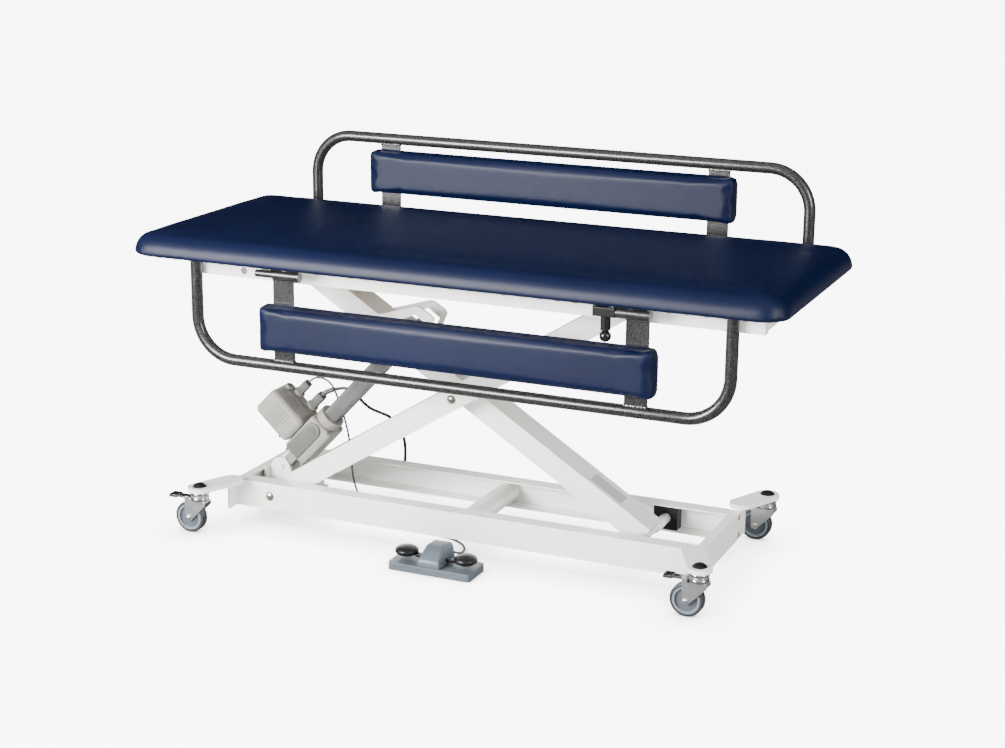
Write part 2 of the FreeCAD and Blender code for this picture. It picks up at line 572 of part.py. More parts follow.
def caster_wheel(x, y):
    """A tyred wheel with a ring-shaped hollow in each face of its hub."""
    axle_x = x - WHEEL_TRAIL
    wheel = rod(axle_x, 0, WHEEL_R, "y", WHEEL_R, y - WHEEL_HALF, y + WHEEL_HALF)
    rim = [e for e in wheel.Edges if e.Length > 2 * math.pi * WHEEL_R - 1]
    wheel = wheel.makeFillet(4, rim)
    for low, high in ((-WHEEL_HALF - 1, -HUB_WEB_HALF), (HUB_WEB_HALF, WHEEL_HALF + 1)):
        hollow = rod(axle_x, 0, WHEEL_R, "y", HUB_HOLLOW_R[1], y + low, y + high)
        wheel = wheel.cut(hollow.cut(rod(axle_x, 0, WHEEL_R, "y", HUB_HOLLOW_R[0], y - 30, y + 30)))
    return wheel.cut(rod(axle_x, 0, WHEEL_R, "y", 4 + RUN, y - 30, y + 30))


def caster_pedal(x, y):
    """The brake pedal: a barrel on its pin, a plate and a wider foot pad."""
    px, pz = x + PEDAL_PIVOT[0], PEDAL_PIVOT[1]
    tip = x - PEDAL_REACH
    barrel = rod(px, 0, pz, "y", 4, y - 12, y + 12)
    plate = box(tip + 6, px, y - 10, y + 10, pz - 2.5, pz + 1.5)
    foot = box(tip, tip + 20, y - 13, y + 13, pz - 3.5, pz + 3)
    pedal = joined(barrel, plate, foot)
    return pedal.cut(rod(px, 0, pz, "y", PEDAL_PIN_R + RUN, y - 30, y + 30))


def casters():
    for end, sx in (("left", -1), ("right", 1)):
        for side, sy in (("near", -1), ("far", 1)):
            x, y = sx * STEM_X, sy * STEM_Y
            save("caster_fork_" + side + "_" + end, caster_fork(x, y))
            save("caster_wheel_" + side + "_" + end, caster_wheel(x, y))
            save("caster_pedal_" + side + "_" + end, caster_pedal(x, y))


def foot_switch():
    x, y = SWITCH
    base = box(x - 100, x + 100, y - 42, y + 42, 0, 18)
    edges = [e for e in base.Edges if abs(e.Vertexes[0].Z - e.Vertexes[1].Z) > 1]
    base = base.makeFillet(8, edges)
    save("foot_switch_base", base)
    side = Part.makePolygon([Vector(x - 24, y - 42, 18), Vector(x - 24, y + 42, 18), Vector(x - 24, y + 42, 56),
                             Vector(x - 24, y - 6, 60), Vector(x - 24, y - 42, 34), Vector(x - 24, y - 42, 18)])
    save("foot_switch_housing", Part.Face(side).extrude(Vector(48, 0, 0)))
    for name, sx in (("left", -1), ("right", 1)):
        centre = Vector(x + sx * 72, y, 24)
        skirt = Part.makeCylinder(27, 4, centre)
        save("foot_pedal_" + name, joined(skirt, dome(centre.x, y, 28, Vector(0, 0, 1), 27, 10)))


# Cord routes: each run is under fifteen diameters and about as long as its neighbours.
SWITCH_CABLE_ROUTE = [
    (-475.1, 33, 305.6), (-464, 33.4, 317.4), (-445.6, 32, 322.8), (-426.1, 29.5, 320.8),
    (-411.5, 28, 312.8), (-401.2, 28, 297.3), (-393.2, 29, 276.9), (-382.3, 31, 245.1), (-372, 32, 208),
    (-364, 32.5, 165), (-360, 31.5, 122), (-354, 27, 82), (-338, 20, 48), (-312, 12, 22), (-278, 3, 6.5),
    (-236, -9, 2.6), (-190, -24, 2.6), (-143, -35, 2.6), (-96, -43, 2.6), (-54, -53, 2.6), (-20, -72, 2.6),
    (0, -100, 2.6), (8, -131, 4.5), (8, -159, 13), (4, -181, 26), (-1, -199, 32)]
MAINS_ROUTE = [
    (-413.4, 43.1, 293), (-396.4, 47, 297.8), (-378.9, 49.5, 299), (-362, 50.5, 292.4), (-348.2, 51, 279),
    (-335, 53, 265), (-322, 63, 251), (-306, 78, 240), (-292, 97, 228), (-281, 116, 208), (-274, 131, 181),
    (-272, 143, 150), (-276, 153, 119), (-283, 164, 90), (-289, 177, 62), (-295, 194, 37), (-300, 215, 17),
    (-304, 241, 6), (-304.2, 270, 3.9)]


def cords():
    save("foot_switch_cable", cord("foot_switch_cable", SWITCH_CABLE_ROUTE, SWITCH_CABLE_D))
    save("mains_lead", cord("mains_lead", MAINS_ROUTE, MAINS_D))
    x, y = COIL_CENTRE
    save("mains_coil", rod(x, y, 0, "z", COIL_R[1], 0, COIL_HEIGHT).cut(rod(x, y, 0, "z", COIL_R[0], -1, 50)))
    length, width, height = PLUG_SIZE
    outer_turn = y + COIL_R[1] - MAINS_D / 2
    save("mains_plug", box(x + 12, x + 12 + length, outer_turn - width / 2, outer_turn + width / 2, 0, height))


def main():
    os.makedirs("parts", exist_ok=True)
    base_frame()
    base_details()
    arm_a()
    arm_b()
    slides()
    actuator_bracket()
    actuator()
    top()
    side_rails()
    casters()
    foot_switch()
    cords()
    print("lift angle", round(LIFT, 3), "tilt", round(TILT, 3), "pin to pin", round(PIN_TO_PIN, 2))


main()
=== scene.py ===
"""Looks for the hi-lo treatment table: upholstery, cords, paint, metal, plastics, welds, studio and camera.

X runs along the table, -Y is the near side whose rail hangs lowered, and Z is up. Lengths are in metres,
but cord routes and what place(), on_actuator() and actuator_spots() are given are in millimetres.
"""

import json
import math

import bpy
import numpy as np
from mathutils import Matrix, Vector


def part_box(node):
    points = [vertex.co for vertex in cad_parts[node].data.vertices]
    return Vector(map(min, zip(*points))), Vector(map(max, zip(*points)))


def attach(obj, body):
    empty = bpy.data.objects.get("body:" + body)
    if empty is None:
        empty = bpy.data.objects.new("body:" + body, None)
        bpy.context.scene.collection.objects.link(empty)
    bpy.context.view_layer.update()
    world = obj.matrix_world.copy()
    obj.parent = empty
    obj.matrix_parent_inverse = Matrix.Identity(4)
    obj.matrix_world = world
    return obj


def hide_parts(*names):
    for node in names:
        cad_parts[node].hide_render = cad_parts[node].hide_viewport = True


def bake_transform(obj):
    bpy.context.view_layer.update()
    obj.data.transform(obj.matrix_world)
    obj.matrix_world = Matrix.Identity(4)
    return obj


MM = 0.001
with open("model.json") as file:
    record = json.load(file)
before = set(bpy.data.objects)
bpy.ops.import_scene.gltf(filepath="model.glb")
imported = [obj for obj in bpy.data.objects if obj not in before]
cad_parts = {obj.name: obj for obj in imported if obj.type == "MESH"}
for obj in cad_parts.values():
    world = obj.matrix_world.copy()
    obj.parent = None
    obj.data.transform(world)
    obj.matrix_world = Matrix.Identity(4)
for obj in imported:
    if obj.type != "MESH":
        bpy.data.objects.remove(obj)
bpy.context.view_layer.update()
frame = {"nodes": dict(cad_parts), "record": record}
NODES = frame["nodes"]


# ---------------------------------------------------------------- where things are
def centre(node):
    low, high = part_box(node)
    return (np.array(low) + np.array(high)) / 2


def heading(start, end):
    """The direction from start to end, one unit long."""
    return (end - start) / np.linalg.norm(end - start)


PAD_LOW, PAD_HIGH = (np.array(v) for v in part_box("mattress_pad"))
PAD_CORNER = 0.060
ORIGIN_SHIFT = np.array([-0.012, -0.015, 0.0])
REAR_PIVOT = np.array([-0.520, 0.0, 0.106]) + ORIGIN_SHIFT
ROD_PIN = np.array([-0.162, 0.0, 0.4898]) + ORIGIN_SHIFT
ALONG = heading(REAR_PIVOT, ROD_PIN)
ABOVE = np.array([-ALONG[2], 0.0, ALONG[0]])
ACTUATOR_AXES = np.array([ALONG, [0.0, 1.0, 0.0], ABOVE])
LEFT_PIVOT = np.array([-0.485, 0.0, 0.07125]) + ORIGIN_SHIFT
RIGHT_PIVOT = np.array([0.409, 0.0, 0.632]) + ORIGIN_SHIFT
ARM_A_ALONG = heading(LEFT_PIVOT, RIGHT_PIVOT)
CROSSING = (LEFT_PIVOT + RIGHT_PIVOT) / 2


def place(*mm):
    """A spot given in the design's millimetres, in metres in the frame."""
    return tuple(np.array(mm) * MM + ORIGIN_SHIFT)


# ---------------------------------------------------------------- shader building
class Graph:
    """The node tree of a material, a group or the world, with short calls that add and join nodes."""

    def __init__(self, tree):
        self.tree = tree

    def put(self, socket, value):
        """Sets a socket to a constant, or links another node's output to it."""
        if isinstance(value, bpy.types.NodeSocket):
            self.tree.links.new(value, socket)
        else:
            socket.default_value = value

    def add(self, kind, inputs=None, **settings):
        """A new node. Its inputs, by name or number, take constants or other nodes' outputs."""
        node = self.tree.nodes.new(kind)
        for key, value in settings.items():
            setattr(node, key, value)
        for key, value in (inputs or {}).items():
            self.put(node.inputs[key], value)
        return node

    def maths(self, operation, *values):
        return self.add("ShaderNodeMath", dict(enumerate(values)), operation=operation).outputs[0]

    def vector(self, operation, *values):
        return self.add("ShaderNodeVectorMath", dict(enumerate(values)), operation=operation).outputs[0]

    def ramp(self, source, stops):
        """Colours at positions from 0 to 1, blended evenly between neighbours."""
        node = self.add("ShaderNodeValToRGB", {0: source})
        elements = node.color_ramp.elements
        while len(elements) < len(stops):
            elements.new(0.5)
        for element, (position, colour) in zip(elements, stops):
            element.position = position
            element.color = (*colour, 1.0)
        return node.outputs[0]

    def mixed(self, factor, first, second):
        """The first shader where the factor is 0, the second where it is 1."""
        return self.add("ShaderNodeMixShader", {0: factor, 1: first, 2: second}).outputs[0]


def noise(graph, vector, scale, detail=2.0):
    return graph.add("ShaderNodeTexNoise", {"Vector": vector, "Scale": scale, "Detail": detail})


def shaken(graph, vector, scale, detail, amount):
    """The vector pushed about by noise, so that cells laid out on it lose their straight walls."""
    push = noise(graph, vector, scale, detail).outputs["Color"]
    return graph.vector("MULTIPLY_ADD", push, (amount, amount, amount), vector)


def orange_peel(graph, vector, scale):
    """Fine ripple of sprayed powder coat, and slow patches of tone and gloss."""
    return noise(graph, vector, scale).outputs["Fac"], noise(graph, vector, 6.0, 4.0).outputs["Fac"]


def vinyl_grain(graph, vector, scale):
    """Leather-like grain: the distance to the nearest cell wall, flattened on top, on a shaken vector."""
    cells = graph.add("ShaderNodeTexVoronoi", {"Vector": shaken(graph, vector, 60.0, 2.0, 0.004),
                                               "Scale": scale}, feature="DISTANCE_TO_EDGE")
    soft = graph.add("ShaderNodeMapRange", {"From Max": 0.22, "Value": cells.outputs["Distance"]},
                     interpolation_type="SMOOTHSTEP")
    return soft.outputs[0], noise(graph, vector, 4.0, 3.0).outputs["Fac"]


def brushed_metal(graph, vector, scale):
    """Long thin scratches along the vector's first axis: noise squeezed forty times across it."""
    squeezed = graph.vector("MULTIPLY", vector, (1.0, 40.0, 40.0))
    return noise(graph, squeezed, scale, 6.0).outputs["Fac"], noise(graph, vector, 12.0, 5.0).outputs["Fac"]


def hammertone(graph, vector, scale):
    """Bright veins between dark cells of mixed size: smooth cell distance on a shaken vector."""
    cells = graph.add("ShaderNodeTexVoronoi", {"Vector": shaken(graph, vector, 120.0, 3.0, 0.006),
                                               "Scale": scale, "Smoothness": 0.6}, feature="SMOOTH_F1")
    return cells.outputs["Distance"], noise(graph, vector, 90.0, 4.0).outputs["Fac"]


def effect_group(name, build):
    """A shared effect: a node group that takes a Vector and a Scale and gives a Fine and a Slow pattern."""
    tree = bpy.data.node_groups.new(name, "ShaderNodeTree")
    for label, way, kind in (("Vector", "INPUT", "NodeSocketVector"), ("Scale", "INPUT", "NodeSocketFloat"),
                             ("Fine", "OUTPUT", "NodeSocketFloat"), ("Slow", "OUTPUT", "NodeSocketFloat")):
        tree.interface.new_socket(label, in_out=way, socket_type=kind)
    graph = Graph(tree)
    given = graph.add("NodeGroupInput").outputs
    fine, slow = build(graph, given["Vector"], given["Scale"])
    graph.add("NodeGroupOutput", {"Fine": fine, "Slow": slow})
    return tree


EFFECTS = {
    "peel": effect_group("orange_peel", orange_peel),
    "grain": effect_group("vinyl_grain", vinyl_grain),
    "brushed": effect_group("brushed_metal", brushed_metal),
    "mottle": effect_group("hammertone", hammertone),
}
SURFACE_IOR = 1.5
COAT_ROUGHNESS = 0.12


def material(name, effect, scale, tones, roughness, metallic=0.0, bump=0.0, coat=0.0, spread=0.08,
             round_edge=0.0, turn=None, pattern="Slow", specular=0.5):
    """A surface whose colour runs between its tones with the effect's pattern, if it is given tones.

    Its roughness varies by spread each way with the slow pattern, its bump follows the fine one, and
    round_edge softens its sharp edges in the shading.
    """
    made = bpy.data.materials.new(name)
    made.use_nodes = True
    graph = Graph(made.node_tree)
    vector = graph.add("ShaderNodeTexCoord").outputs["Object"]
    if turn is not None:
        vector = graph.add("ShaderNodeMapping", {"Vector": vector, "Rotation": turn}).outputs[0]
    shared = graph.add("ShaderNodeGroup", node_tree=EFFECTS[effect])
    graph.put(shared.inputs["Vector"], vector)
    graph.put(shared.inputs["Scale"], scale)
    fine, slow = shared.outputs["Fine"], shared.outputs["Slow"]
    rough = graph.add("ShaderNodeMapRange", {"Value": slow, "To Min": roughness - spread,
                                             "To Max": roughness + spread})
    values = {"Roughness": rough.outputs[0], "Metallic": metallic, "IOR": SURFACE_IOR,
              "Specular IOR Level": specular, "Coat Weight": coat, "Coat Roughness": COAT_ROUGHNESS}
    if tones:
        steps = [(0.3 + 0.4 * i / (len(tones) - 1), tone) for i, tone in enumerate(tones)]
        values["Base Color"] = graph.ramp(slow if pattern == "Slow" else fine, steps)
    normal = {}
    if round_edge:
        normal["Normal"] = graph.add("ShaderNodeBevel", {"Radius": round_edge}, samples=4).outputs[0]
    if bump:
        raised = graph.add("ShaderNodeBump", {"Strength": 1.0, "Distance": bump, "Height": fine, **normal})
        normal["Normal"] = raised.outputs[0]
    for socket, value in {**values, **normal}.items():
        graph.put(made.node_tree.nodes["Principled BSDF"].inputs[socket], value)
    return made


WHEEL_RADIUS = 0.0375
WHEEL_RINGS = [(0.0, (0.075, 0.088, 0.105)), (0.64, (0.060, 0.072, 0.088)), (0.70, (0.150, 0.175, 0.205)),
               (0.80, (0.125, 0.148, 0.175)), (0.83, (0.022, 0.023, 0.027))]


def wheel_material(name, hub):
    """Dark tread round a blue grey hub with a lighter ring, told apart by the distance from the axle."""
    made = material(name, "peel", 900.0, None, 0.46, bump=0.00003, round_edge=0.0008)
    graph = Graph(made.node_tree)
    away = graph.vector("SUBTRACT", graph.add("ShaderNodeTexCoord").outputs["Object"], tuple(hub))
    across = graph.vector("MULTIPLY", away, (1.0, 0.0, 1.0))
    length = graph.add("ShaderNodeVectorMath", {0: across}, operation="LENGTH").outputs["Value"]
    rings = graph.ramp(graph.maths("DIVIDE", length, WHEEL_RADIUS), WHEEL_RINGS)
    graph.put(made.node_tree.nodes["Principled BSDF"].inputs["Base Color"], rings)
    return made


PAINT = material("frame_paint", "peel", 700.0, [(0.79, 0.785, 0.755), (0.83, 0.825, 0.795)], 0.33,
                 bump=0.00006, coat=0.35, round_edge=0.0016)
HAMMER = material("rail_hammertone", "mottle", 420.0,
                  [(0.052, 0.0515, 0.0525), (0.022, 0.0215, 0.0225), (0.009, 0.0088, 0.0094)], 0.30,
                  metallic=0.5, bump=0.00026, coat=0.55, round_edge=0.0012, pattern="Fine", spread=0.06)
ZINC = material("zinc", "brushed", 60.0, [(0.58, 0.585, 0.58), (0.74, 0.745, 0.74)], 0.30, metallic=0.95,
                bump=0.00002, round_edge=0.0008)
BOLT = material("bolt_zinc", "brushed", 80.0, [(0.42, 0.40, 0.35), (0.60, 0.58, 0.53)], 0.28, metallic=0.95,
                round_edge=0.0006)
STEEL = material("steel", "brushed", 90.0, [(0.34, 0.34, 0.34), (0.48, 0.48, 0.48)], 0.26, metallic=1.0,
                 bump=0.00002, round_edge=0.0006)
CHROME = material("chrome", "brushed", 30.0, [(0.55, 0.55, 0.57), (0.65, 0.65, 0.67)], 0.12, metallic=1.0,
                  spread=0.04, round_edge=0.0006)
PROFILE_TURN = (0.0, math.radians(47.0), 0.0)
ALUMINIUM = material("aluminium", "brushed", 40.0, [(0.18, 0.174, 0.171), (0.26, 0.251, 0.247)], 0.34,
                     metallic=0.85, bump=0.00002, turn=PROFILE_TURN, round_edge=0.0006)
# Painted shade: a darker copy of the aluminium, laid on thin strips where the profile's grooves would hold
# shade.
GROOVE_SHADE = material("profile_groove", "brushed", 40.0, [(0.12, 0.117, 0.115), (0.16, 0.156, 0.153)], 0.4,
                  metallic=0.8, turn=PROFILE_TURN)
WELD = material("weld", "peel", 500.0, [(0.10, 0.10, 0.10), (0.42, 0.42, 0.41)], 0.24, metallic=0.85,
                bump=0.0004)
NYLON = material("black_nylon", "peel", 1200.0, [(0.004, 0.004, 0.0043), (0.007, 0.007, 0.0076)], 0.36,
                 bump=0.00003, round_edge=0.0008, specular=0.3)
KNOB = material("gloss_black", "peel", 600.0, [(0.004, 0.004, 0.004), (0.007, 0.007, 0.007)], 0.16,
                spread=0.04)
VINYL = material("vinyl", "grain", 700.0, [(0.0005, 0.0029, 0.019), (0.0007, 0.0038, 0.024)], 0.40,
                 bump=0.00006, spread=0.04, specular=0.22)
PLY = material("plywood", "brushed", 30.0, [(0.22, 0.15, 0.085), (0.33, 0.235, 0.14)], 0.62)
CONTROL = material("control_plastic", "peel", 1500.0, [(0.215, 0.210, 0.190), (0.245, 0.240, 0.218)], 0.46,
                   bump=0.00004, round_edge=0.0010)
GEAR = material("gear_plastic", "peel", 1100.0, [(0.078, 0.077, 0.073), (0.10, 0.099, 0.094)], 0.48,
                bump=0.00006, round_edge=0.0008)
SWITCH = material("switch_plastic", "peel", 1300.0, [(0.064, 0.078, 0.097), (0.075, 0.091, 0.112)], 0.42,
                  bump=0.00004, round_edge=0.0012)
SWITCH_BASE = material("switch_base_plastic", "peel", 1300.0, [(0.064, 0.078, 0.097), (0.075, 0.091, 0.112)],
                       0.42, bump=0.00004, round_edge=0.0045)
CABLE_GREY = material("cable_grey", "peel", 900.0, [(0.038, 0.038, 0.038), (0.05, 0.05, 0.05)], 0.5)
CABLE_BLACK = material("cable_black", "peel", 900.0, [(0.006, 0.006, 0.0065), (0.010, 0.010, 0.0105)], 0.42)
LABEL = material("label", "peel", 300.0, [(0.40, 0.41, 0.44), (0.44, 0.45, 0.48)], 0.4)
STRIP = material("terminal_strip", "peel", 300.0, [(0.15, 0.152, 0.165), (0.18, 0.182, 0.195)], 0.5)

SLOT_SURFACES = {
    "frame_paint": PAINT, "rail_hammertone": HAMMER, "zinc": ZINC, "steel": STEEL, "chrome": CHROME,
    "aluminium": ALUMINIUM, "black_nylon": NYLON, "vinyl": VINYL, "plywood": PLY, "control_plastic": CONTROL,
    "gear_plastic": GEAR, "switch_plastic": SWITCH, "cable_grey": CABLE_GREY, "cable_black": CABLE_BLACK,
}
OWN_SURFACES = {
    "base_bolts": BOLT, "arm_a_shafts": BOLT, "actuator_motor_housing": CONTROL, "latch_plunger_near": KNOB,
    "latch_plunger_far": KNOB, "arm_b_lower_shaft": PAINT, "foot_switch_base": SWITCH_BASE,
}
for part in frame["record"]["subparts"]:
    name = part["node"]
    if name.startswith("caster_wheel"):
        surface = wheel_material(name, centre(name))
    elif name in OWN_SURFACES:
        surface = OWN_SURFACES[name]
    else:
        surface = SLOT_SURFACES[part["material_slot"]]
    NODES[name].data.materials.clear()
    NODES[name].data.materials.append(surface)


# ---------------------------------------------------------------- mesh helpers
def mesh_object(name, points, faces, surface, body=None, smooth=True):
    mesh = bpy.data.meshes.new(name)
    mesh.from_pydata(np.asarray(points, float), [], faces)
    mesh.validate()
    mesh.polygons.foreach_set("use_smooth", [smooth] * len(mesh.polygons))
    mesh.materials.append(surface)
    mesh.update()
    obj = bpy.data.objects.new(name, mesh)
    bpy.context.scene.collection.objects.link(obj)
    if body:
        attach(obj, body)
    return obj


def round_edges(obj, width, segments):
    bevel = obj.modifiers.new("round", "BEVEL")
    bevel.width = width
    bevel.segments = segments


def axes_for(direction):
    """Three directions at right angles, the last along the given one."""
    third = np.array(direction, float)
    third /= np.linalg.norm(third)
    helper = np.array([0.0, 1.0, 0.0]) if abs(third[1]) < 0.9 else np.array([1.0, 0.0, 0.0])
    first = np.cross(helper, third)
    first /= np.linalg.norm(first)
    return first, np.cross(third, first), third


def ring_faces(rings, count):
    """Quads between each ring of count points and the next, the ring closed on itself, and two end caps."""
    i = np.arange(count)
    j = (i + 1) % count
    first = np.arange(rings - 1)[:, None] * count
    quads = np.stack([first + i, first + j, first + count + j, first + count + i], axis=-1)
    last = (rings - 1) * count
    return quads.reshape(-1, 4).tolist() + [list(range(count))[::-1], list(range(last, last + count))]


def turned_body(name, profile, start, direction, surface, body=None, sides=40):
    """Each (radius, distance) of the profile is a circle of that radius about the line, that distance
    along it from start. Both ends close."""
    first, second, third = axes_for(direction)
    radius, along = np.array(profile, float).T[:, :, None, None]
    angles = np.linspace(0.0, 2 * math.pi, sides, endpoint=False)[:, None]
    circle = first * np.cos(angles) + second * np.sin(angles)
    points = (np.array(start, float) + third * along + circle * radius).reshape(-1, 3)
    return mesh_object(name, points, ring_faces(len(profile), sides), surface, body)


def tube_along(path, radius, sides=16, lumps=None):
    """A round tube: at each point of the path a circle square to it, lumps times the radius. Its sideways
    direction is carried along, less its share of each new tangent, so that the tube doesn't twist."""
    path = np.array(path, float)
    tangents = np.gradient(path, axis=0)
    tangents /= np.linalg.norm(tangents, axis=1)[:, None]
    side = axes_for(tangents[0])[0]
    carried = []
    for tangent in tangents:
        side = side - tangent * (side @ tangent)
        side = side / np.linalg.norm(side)
        carried.append(side)
    first = np.array(carried)[:, None]
    second = np.cross(tangents, carried)[:, None]
    angles = np.linspace(0.0, 2 * math.pi, sides, endpoint=False)[:, None]
    radii = radius * (np.ones(len(path)) if lumps is None else lumps)
    points = path[:, None] + (first * np.cos(angles) + second * np.sin(angles)) * radii[:, None, None]
    return points.reshape(-1, 3), ring_faces(len(path), sides)


BOX_CORNERS = np.array([(x, y, z) for z in (0, 1) for y in (0, 1) for x in (0, 1)])
BOX_FACES = np.array([(0, 2, 3, 1), (4, 5, 7, 6), (0, 1, 5, 4), (2, 6, 7, 3), (0, 4, 6, 2), (1, 3, 7, 5)])


def local_box(name, low, high, surface, body, bevel=0.0, axes=np.eye(3), start=np.zeros(3)):
    """A box between two corners given along the axes from start, with rounded edges."""
    points = start + np.where(BOX_CORNERS, high, low) @ axes
    faces = BOX_FACES[:, ::-1] if np.linalg.det(axes) < 0 else BOX_FACES
    obj = mesh_object(name, points, faces.tolist(), surface, None, smooth=bevel > 0)
    if bevel:
        round_edges(obj, bevel, 3)
    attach(obj, body)
    return obj


def between(name, ends, surface):
    """A prism whose two end faces are the outlines in ends, points by sides by three coordinates."""
    faces = [face[::-1] for face in ring_faces(2, ends.shape[1])]
    return mesh_object(name, ends.reshape(-1, 3), faces, surface)


# ---------------------------------------------------------------- upholstery
CLOTH = {"quality": 5, "use_pressure": True, "uniform_pressure_force": 4.0, "vertex_group_mass": "held",
         "tension_stiffness": 25.0, "compression_stiffness": 25.0, "bending_stiffness": 1.5}
CLOTH_FRAMES = 20
LEAST_CORNER = 0.004


def slab(name, middle, half_x, half_y, thick, corner, edge, axes):
    """A closed pad in rings, each a rectangle with a quarter circle at every corner. The lowest rings are
    full size, and the others step in and up round a quarter circle of radius edge."""
    rise = np.radians(90.0 * np.arange(1, 8) / 7)
    inset = np.concatenate([[0.0, 0.0], edge * (1 - np.cos(rise))])[:, None, None]
    height = np.concatenate([[0.0, 0.35 * thick], thick - edge + edge * np.sin(rise)])[:, None]
    quarter = np.radians(90.0 * np.arange(4)[:, None] + 90.0 * np.arange(11) / 10)
    sign_x, sign_y = np.array([(1, -1, -1, 1), (1, 1, -1, -1)])[:, :, None]
    radius = np.maximum(corner - inset, LEAST_CORNER)
    x = sign_x * (half_x - inset - radius) + radius * np.cos(quarter)
    y = sign_y * (half_y - inset - radius) + radius * np.sin(quarter)
    x, y = x.reshape(len(x), -1), y.reshape(len(y), -1)
    points = middle + np.stack([x, y, np.broadcast_to(height, x.shape)], axis=-1) @ axes
    return mesh_object(name, points.reshape(-1, 3), ring_faces(*x.shape), VINYL)


def apply_modifiers(obj):
    mesh = bpy.data.meshes.new_from_object(obj.evaluated_get(bpy.context.evaluated_depsgraph_get()))
    obj.modifiers.clear()
    obj.data = mesh


def read_points(mesh):
    flat = np.empty(len(mesh.vertices) * 3)
    mesh.vertices.foreach_get("co", flat)
    return flat.reshape(-1, 3)


def write_points(obj, points):
    obj.data.vertices.foreach_set("co", points.reshape(-1))
    obj.data.update()


def stuff(pad, voxel, cap, back_axis, back_at, pinned):
    """Swells the pad by cloth simulation under pressure, each point moving no further than cap. Points
    within pinned of the back plane stay on their board."""
    remesh = pad.modifiers.new("remesh", "REMESH")
    remesh.mode = "VOXEL"
    remesh.voxel_size = voxel
    remesh.use_smooth_shade = True
    apply_modifiers(pad)
    start = read_points(pad.data)
    held = pad.vertex_groups.new(name="held")
    held.add(np.where(np.abs(start @ back_axis - back_at) < pinned)[0].tolist(), 1.0, "REPLACE")
    cloth = pad.modifiers.new("cloth", "CLOTH")
    for key, value in CLOTH.items():
        setattr(cloth.settings, key, value)
    cloth.settings.effector_weights.gravity = 0.0
    cloth.point_cache.frame_start = 1
    cloth.point_cache.frame_end = CLOTH_FRAMES
    for step in range(1, CLOTH_FRAMES + 1):
        bpy.context.scene.frame_set(step)
    apply_modifiers(pad)
    change = read_points(pad.data) - start
    length = np.linalg.norm(change, axis=1)
    write_points(pad, start + change * (np.minimum(length, cap) / np.maximum(length, 1e-9))[:, None])
    pad.vertex_groups.clear()
    bpy.context.scene.frame_set(1)


def smooth_finish(pad, passes):
    """Smooths the voxel steps away and divides the mesh once, applied."""
    smoother = pad.modifiers.new("smooth", "SMOOTH")
    smoother.factor = 0.5
    smoother.iterations = passes
    divide = pad.modifiers.new("divide", "SUBSURF")
    divide.levels = 1
    divide.render_levels = 1
    apply_modifiers(pad)
    pad.data.polygons.foreach_set("use_smooth", [True] * len(pad.data.polygons))
    pad.data.materials.clear()
    pad.data.materials.append(VINYL)
    pad.data.update()


def mattress():
    """The table's pad: firm foam under tight vinyl, rolled over the deck and gathered at its corners."""
    clear_of_deck, outset, top_roll = 0.001, 0.004, 0.042
    middle = np.array([*(PAD_LOW[:2] + PAD_HIGH[:2]) / 2, PAD_LOW[2] + clear_of_deck])
    half = (PAD_HIGH - PAD_LOW) / 2
    pad = slab("mattress_cover", middle, half[0] + outset, half[1] + outset, 2 * half[2] - 0.003,
               PAD_CORNER, top_roll, np.eye(3))
    stuff(pad, 0.008, 0.004, np.array([0.0, 0.0, 1.0]), PAD_LOW[2], 0.012)
    smooth_finish(pad, 4)
    gather_corners(pad, middle, half)
    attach(pad, "top_frame")
    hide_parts("mattress_pad")


def gather_corners(pad, middle, half):
    """Folds where the vinyl is pulled under each corner: a sine wave round the corner, whose own phase
    wanders, pushed in towards the corner's centre and fading upwards, sideways and inwards."""
    fold_height, fold_depth, least_depth, folds = 0.034, 0.0022, 0.0006, 22.0
    points = read_points(pad.data)
    for sx in (-1, 1):
        for sy in (-1, 1):
            hub = np.array([middle[0] + sx * (half[0] - PAD_CORNER), middle[1] + sy * (half[1] - PAD_CORNER)])
            away = points[:, :2] - hub
            reach = np.linalg.norm(away, axis=1)
            angle = np.degrees(np.arctan2(away[:, 1] * sy, away[:, 0] * sx))
            inside = np.clip(1 - np.abs(angle - 45) / 48, 0, 1)
            height = np.clip((points[:, 2] - PAD_LOW[2]) / fold_height, 0, 1)
            fade = np.clip(inside * 2.5, 0, 1) * (1 - height) ** 1.5 * np.clip((reach - 0.05) / 0.03, 0, 1)
            turn = np.radians(angle)
            wave = np.sin(turn * folds + 2.0 * np.sin(turn * 5.0 + sx + 2 * sy))
            depth = -fold_depth * (0.5 - 0.5 * wave) - least_depth
            points[:, :2] += away / np.maximum(reach, 1e-6)[:, None] * (fade * depth)[:, None]
    write_points(pad, points)


def bolster(name, node, body):
    """A side rail's bolster: a long pad stapled to its board, its face crowned towards the near side."""
    outset, corner, face_roll = 0.001, 0.013, 0.009
    low, high = (np.array(v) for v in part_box(node))
    half = (high - low) / 2
    middle = np.array([(low[0] + high[0]) / 2, high[1], (low[2] + high[2]) / 2])
    facing_near = np.array([[1.0, 0.0, 0.0], [0.0, 0.0, 1.0], [0.0, -1.0, 0.0]])
    pad = slab(name, middle, half[0] + outset, half[2] + outset, 2 * half[1] - 0.004, corner, face_roll,
               facing_near)
    stuff(pad, 0.005, 0.004, np.array([0.0, 1.0, 0.0]), high[1], 0.006)
    smooth_finish(pad, 2)
    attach(pad, body)
    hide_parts(node)


